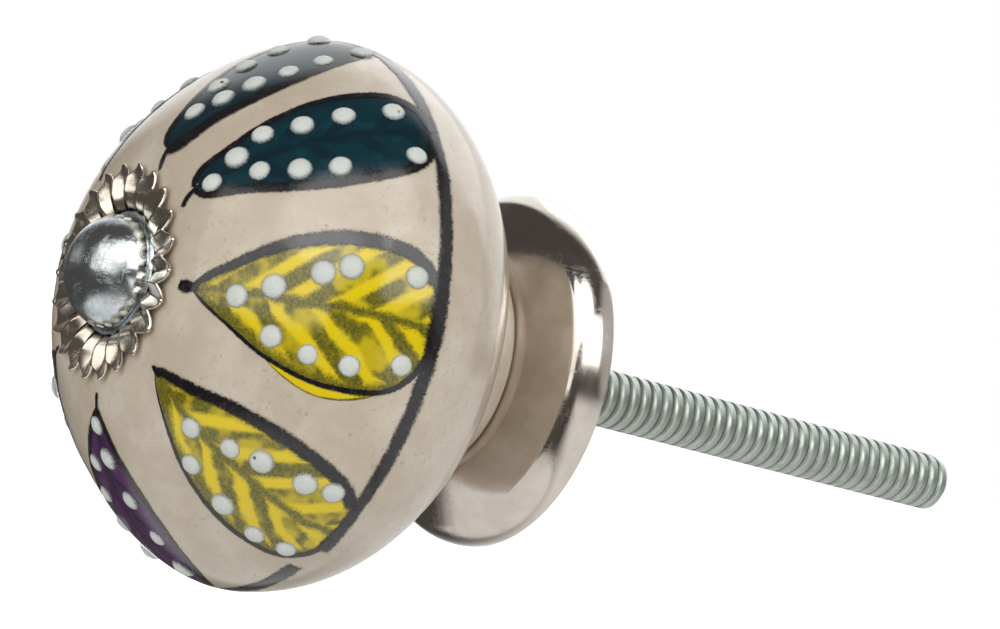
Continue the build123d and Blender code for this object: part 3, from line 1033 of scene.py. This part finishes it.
# Turned piece: a profile of radius and place, spun round the axis
def turnedPiece(name, profile, steps, material, sharpAngle=35):
    form = bmesh.new()
    turns = [2 * math.pi * k / steps for k in range(steps)]
    rings = []
    for radius, place in profile:
        around = [(radius * math.cos(t), place, radius * math.sin(t)) for t in turns]
        rings.append([form.verts.new(at) for at in ([(0, place, 0)] if radius < onAxis else around)])
    for lower, upper in zip(rings, rings[1:]):
        for k in range(steps):
            n = (k + 1) % steps
            places = ((lower, k), (lower, n), (upper, n), (upper, k))
            corners = list(dict.fromkeys(ring[i % len(ring)] for ring, i in places))
            if len(corners) > 2:
                form.faces.new(corners)
    bmesh.ops.recalc_face_normals(form, faces=form.faces)
    mesh = bpy.data.meshes.new(name)
    form.to_mesh(mesh)
    form.free()
    mesh.shade_smooth()
    mesh.set_sharp_from_angle(angle=math.radians(sharpAngle))
    mesh.materials.append(material)
    return addObject(name, mesh)


def headProfile(size):
    outer, seat = size["headRadius"], size["seatY"]
    domeRadius = outer - size["rimStep"]
    rimFront = seat - size["rimHeight"]
    height = rimFront - size["apexY"]
    arc = [math.pi / 2 * k / 40 for k in range(41)]
    points = [(domeRadius * math.sin(t), rimFront - height * math.cos(t)) for t in arc]
    points += [(domeRadius + 0.02 * mm, rimFront + 0.12 * mm), (domeRadius + 0.1 * mm, rimFront + 0.05 * mm)]
    points += [(outer - 0.08 * mm, rimFront + 0.05 * mm), (outer, rimFront + 0.15 * mm)]
    return points + [(outer, seat - 0.06 * mm), (outer - 0.06 * mm, seat), (0, seat)]


boltHead = turnedPiece("boltHead", headProfile(bolt), 128, headSteel)
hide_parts("dome_bolt")
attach(boltHead, "root")


def makeThreadTree(size, material):
    labels = ("Turns", "Height", "Start", "Root Radius", "Major Radius", "Pitch")
    tree, given, result = newShapeTree("rolledThread", {label: "Float" for label in labels})
    root, major = given["Root Radius"], given["Major Radius"]
    middle = times(tree, plus(tree, root, major), 0.5)
    helix = addNode(tree, "GeometryNodeCurveSpiral", {
        "Resolution": 40,
        "Rotations": given["Turns"],
        "Start Radius": middle,
        "End Radius": middle,
        "Height": given["Height"],
    })
    upright = addNode(tree, "GeometryNodeSetCurveNormal", {"Curve": helix.outputs[0]}, mode="Z_UP")
    ridge = addNode(tree, "GeometryNodeCurvePrimitiveQuadrilateral", mode="TRAPEZOID", inputs={
        "Height": minus(tree, major, root),
        "Bottom Width": times(tree, given["Pitch"], size["ridgeFoot"]),
        "Top Width": times(tree, given["Pitch"], size["ridgeTop"]),
        "Offset": 0.0,
    })
    swept = addNode(tree, "GeometryNodeCurveToMesh", {
        "Curve": upright.outputs[0],
        "Profile Curve": through(tree, "Transform", ridge.outputs[0], {"Rotation": (0, 0, -math.pi / 2)}),
        "Fill Caps": True,
    })
    laid = through(tree, "Transform", swept.outputs[0], {
        "Translation": addNode(tree, "ShaderNodeCombineXYZ", {1: given["Start"]}).outputs[0],
        "Rotation": (-math.pi / 2, 0, 0),
    })
    return coat(tree, result, through(tree, "RealizeInstances", laid), material)


# The ridge runs out toward the tip: past the taper's start its points are drawn in to the core
def cutThread(size, material):
    height = size["tipY"] - size["threadStart"] - size["pitch"] * size["threadStop"]
    piece = grow("boltThread", bpy.data.meshes.new("threadSeed"), makeThreadTree(size, material), {
        "Turns": height / size["pitch"],
        "Height": height,
        "Start": size["threadStart"],
        "Root Radius": size["rootRadius"],
        "Major Radius": size["majorRadius"],
        "Pitch": size["pitch"],
    })
    for vertex in piece.data.vertices:
        past = vertex.co.y - (size["tipY"] - size["tipTaper"])
        reach = math.hypot(vertex.co.x, vertex.co.z)
        limit = size["majorRadius"] - max(past, 0) * size["taperSlope"]
        if reach > limit:
            vertex.co.x *= limit / reach
            vertex.co.z *= limit / reach
    return piece


boltThread = cutThread(bolt, threadZinc)
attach(boltThread, "root")


def shankProfile(size):
    core, tip, seat = size["rootRadius"], size["tipY"], size["seatY"]
    points = [(0, seat), (core, seat), (core, tip - size["tipTaper"])]
    return points + [(core - 0.3 * mm, tip - 0.12 * mm), (core - 0.45 * mm, tip), (0, tip)]


boltShank = turnedPiece("boltShank", shankProfile(bolt), 64, threadZinc)
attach(boltShank, "root")
print("bolt made")

# Base cup: pressed sheet, hollow behind, with rounded bends
cup = {
    "height": 5.1 * mm,
    "wall": 0.8 * mm,
    "boreRadius": 2.5 * mm,
    "flatRadius": 8.8 * mm,
    "shoulderRadius": 12.5 * mm,
    "rimRadius": 13.25 * mm,
    "skirtHeight": 2.95 * mm,
    "faceBulge": 0.04 * mm,
    "skirtBulge": 0.34 * mm,
    "bend": 0.5 * mm,
    "shoulderBend": 0.35 * mm,
    "rimBend": 0.2 * mm,
}


def bulged(start, end, bulge, count):
    run = np.array(end) - np.array(start)
    side = np.array((run[1], -run[0])) / np.hypot(*run)
    shares = np.linspace(0, 1, count)
    return [tuple(np.array(start) + run * s + side * bulge * 4 * s * (1 - s)) for s in shares]


# Corner of a profile cut to a small round
def rounded(before, corner, after, radius, count=7):
    corner = np.array(corner)
    a, b = np.array(before) - corner, np.array(after) - corner
    a, b = a / np.hypot(*a) * radius, b / np.hypot(*b) * radius
    shares = np.linspace(0, 1, count)
    return [tuple(corner + a * (1 - s) ** 2 + b * s**2) for s in shares]


def cupProfile(size):
    front, wall, bend, rimBend = -size["height"], size["wall"], size["bend"], size["rimBend"]
    flat, shoulder = (size["flatRadius"], front), (size["shoulderRadius"], -size["skirtHeight"])
    rim, inner = (size["rimRadius"], 0.0), (size["rimRadius"] - wall, 0.0)
    innerShoulder = (shoulder[0] - wall, shoulder[1] + wall / 2)
    innerFlat = (flat[0] - wall / 2, front + wall)
    face = bulged(flat, shoulder, size["faceBulge"], 24)
    skirt = bulged(shoulder, rim, size["skirtBulge"], 20)
    bore = (size["boreRadius"], front)
    points = [bore] + rounded(bore, flat, face[3], bend) + face[4:-2]
    points += rounded(face[-3], shoulder, skirt[3], size["shoulderBend"]) + skirt[4:-2]
    points += rounded(skirt[-3], rim, inner, rimBend) + rounded(rim, inner, (inner[0], -1 * mm), rimBend)
    points += rounded(inner, innerShoulder, innerFlat, bend)
    points += rounded(innerShoulder, innerFlat, (3 * mm, innerFlat[1]), bend)
    return points + [(size["boreRadius"], innerFlat[1]), bore]


baseCup = turnedPiece("baseCup", cupProfile(cup), 160, cupNickel)
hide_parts("base_cup")
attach(baseCup, "root")

# The two solids that stay get their materials
for node, material in (("ceramic_body", glaze), ("clamp_nut", threadZinc)):
    cad[node].data.materials.clear()
    cad[node].data.materials.append(material)

# Camera at the photograph's place
view = {
    "place": (0.2576, -0.1791, 0.0041),
    "right": (0.5478, 0.7954, 0.2592),
    "up": (-0.1470, -0.2135, 0.9658),
    "sensor": 36,
    "lens": 151.2,
    "clip": (0.01, 10),
}


def setCamera(look):
    camera = bpy.data.cameras.new("camera")
    camera.sensor_width, camera.lens = look["sensor"], look["lens"]
    camera.clip_start, camera.clip_end = look["clip"]
    right, up = Vector(look["right"]).normalized(), Vector(look["up"]).normalized()
    back = right.cross(up).normalized()
    columns = (right, back.cross(right), back, look["place"])
    holder = addObject("camera", camera)
    holder.matrix_world = Matrix([[column[i] for column in columns] for i in range(3)] + [[0, 0, 0, 1]])
    bpy.context.scene.camera = holder


# Floor, world and lamps. A card is a direction, the cosines between which it fades in, and a strength.
# A lamp hangs at an angle round Z and a height angle, in degrees. Its size is width and height.
studio = {
    "floorZ": -0.055,
    "floorSize": 6.0,
    "floorColour": (0.82, 0.82, 0.82, 1),
    "floorMiddle": (0.01, -0.03, 0),
    "whiteFloor": (0.048, 0.066),
    "whiteFloorFrom": (0.35, 0.94, 0),
    "whiteFloorEdge": (-0.01, 0.045),
    "whiteFloorGlow": 0.2,
    "dark": (0.075, 0.07, 0.066, 1),
    "white": (1, 1, 1, 1),
    "backdrop": ((-0.6, 0.6, 0.53), (0.68, 0.84), 1.0),
    "backdropGlare": 0.15,
    "sideCard": ((0.5, 0.74, 0.45), (0.82, 0.94), 0.55),
    "frontCard": ((-0.84, -0.53, -0.05), (0.9, 0.98), 0.3),
    "leftWindow": ((0.478, -0.569, 0.669), (0.935, 0.95), 1.3),
    "rightWindow": ((0.525, -0.191, 0.829), (0.965, 0.98), 1.3),
    "ambientEdge": (-0.2, 0.9),
    "ambient": (0.3, 0.51),
    "lampDistance": 0.6,
    "lamps": {
        "leftSoftbox": {"at": (-72, 20), "size": (0.68, 0.48), "power": 1.45, "colour": (1.0, 0.99, 0.97)},
        "rightSoftbox": {"at": (0, 32), "size": (0.52, 0.32), "power": 1.3, "colour": (1.0, 0.99, 0.98)},
        "backSoftbox": {"at": (120, 45), "size": (0.6, 0.4), "power": 0.7, "colour": (0.96, 0.96, 1.0)},
    },
}


def mixed(tree, amount, first, second):
    given = {0: amount, 1: first.outputs[0], 2: second.outputs[0]}
    return addNode(tree, "ShaderNodeMixShader", given)


# The floor is white for the camera. Metal and glaze see it pale near the knob and on the side behind it,
# and dark elsewhere.
def floorMaterial(look):
    material = bpy.data.materials.new("paleFloor")
    material.use_nodes = True
    tree = material.node_tree
    tree.nodes.clear()
    path = addNode(tree, "ShaderNodeLightPath").outputs
    seen, glossy = path["Is Camera Ray"], path["Is Glossy Ray"]
    place = objectPlace(tree)
    flat = vectorCalc(tree, "SUBTRACT", vectorCalc(tree, "MULTIPLY", place, (1, 1, 0)), look["floorMiddle"])
    near = ramp(tree, vectorCalc(tree, "LENGTH", flat), *look["whiteFloor"], 1.0, 0.0)
    toward = vectorCalc(tree, "DOT_PRODUCT", place, look["whiteFloorFrom"])
    white = larger(tree, near, ramp(tree, toward, *look["whiteFloorEdge"]))
    shown = larger(tree, larger(tree, seen, glossy), path["Is Transmission Ray"])
    strength = times(tree, shown, larger(tree, seen, times(tree, white, look["whiteFloorGlow"])))
    clean = addNode(tree, "ShaderNodeBsdfDiffuse", {"Color": look["floorColour"]})
    glow = addNode(tree, "ShaderNodeEmission", {"Color": look["white"], "Strength": strength})
    lit = addNode(tree, "ShaderNodeAddShader", {0: clean.outputs[0], 1: glow.outputs[0]})
    shade = addNode(tree, "ShaderNodeEmission", {"Color": look["dark"], "Strength": 1.0})
    surface = mixed(tree, times(tree, glossy, minus(tree, 1.0, white)), lit, shade)
    under = addNode(tree, "ShaderNodeNewGeometry").outputs["Backfacing"]
    both = mixed(tree, under, surface, addNode(tree, "ShaderNodeBsdfTransparent"))
    addNode(tree, "ShaderNodeOutputMaterial", {"Surface": both.outputs[0]})
    return material


def layFloor(look):
    mesh = bpy.data.meshes.new("floor")
    h, z = look["floorSize"] / 2, look["floorZ"]
    mesh.from_pydata([(-h, -h, z), (h, -h, z), (h, h, z), (-h, h, z)], [], [(0, 1, 2, 3)])
    mesh.materials.append(floorMaterial(look))
    floor = addObject("floor", mesh)


def cardMask(tree, card):
    direction, edge, strength = card
    toward = addNode(tree, "ShaderNodeTexCoord").outputs["Generated"]
    return ramp(tree, vectorCalc(tree, "DOT_PRODUCT", toward, direction), *edge, 0.0, strength)


# White for the camera. Metal and glaze see a dark room with white cards, and matt surfaces a soft light.
def makeWorld(look):
    world = bpy.data.worlds.new("studio")
    bpy.context.scene.world = world
    world.use_nodes = True
    tree = world.node_tree
    tree.nodes.clear()
    path = addNode(tree, "ShaderNodeLightPath").outputs
    backdrop = cardMask(tree, look["backdrop"])
    windows = larger(tree, cardMask(tree, look["leftWindow"]), cardMask(tree, look["rightWindow"]))
    cards = larger(tree, cardMask(tree, look["sideCard"]), cardMask(tree, look["frontCard"]))
    glare = larger(tree, windows, times(tree, backdrop, look["backdropGlare"]))
    bright = calc(tree, "MAXIMUM", windows, larger(tree, backdrop, cards), clamp=True)
    room = addNode(tree, "ShaderNodeBackground", {
        "Color": blend(tree, bright, look["dark"], look["white"]),
        "Strength": plus(tree, glare, 1.0),
    })
    ambient = cardMask(tree, (look["backdrop"][0], look["ambientEdge"], 1.0))
    low, high = look["ambient"]
    strength = plus(tree, times(tree, ambient, high - low), low)
    soft = addNode(tree, "ShaderNodeBackground", {"Color": look["white"], "Strength": strength})
    white = addNode(tree, "ShaderNodeBackground", {"Color": look["white"], "Strength": 1.0})
    seen = larger(tree, path["Is Camera Ray"], path["Is Transmission Ray"])
    shiny = mixed(tree, path["Is Glossy Ray"], soft, room)
    addNode(tree, "ShaderNodeOutputWorld", {"Surface": mixed(tree, seen, shiny, white).outputs[0]})


def hangLamp(name, look, distance):
    around, lift = (math.radians(angle) for angle in look["at"])
    toward = Vector((math.cos(around) * math.cos(lift), math.sin(around) * math.cos(lift), math.sin(lift)))
    lamp = bpy.data.lights.new(name, "AREA")
    lamp.shape = "RECTANGLE"
    lamp.size, lamp.size_y = look["size"]
    lamp.energy = look["power"]
    lamp.color = look["colour"]
    holder = addObject(name, lamp)
    holder.location = Vector((0, stoneware["shoulderY"], 0)) + toward * distance
    holder.rotation_euler = (-toward).to_track_quat("-Z", "Y").to_euler()


setCamera(view)
layFloor(studio)
makeWorld(studio)
for name, look in studio["lamps"].items():
    hangLamp(name, look, studio["lampDistance"])

scene = bpy.context.scene
scene.view_settings.view_transform = "Standard"
print("studio set")
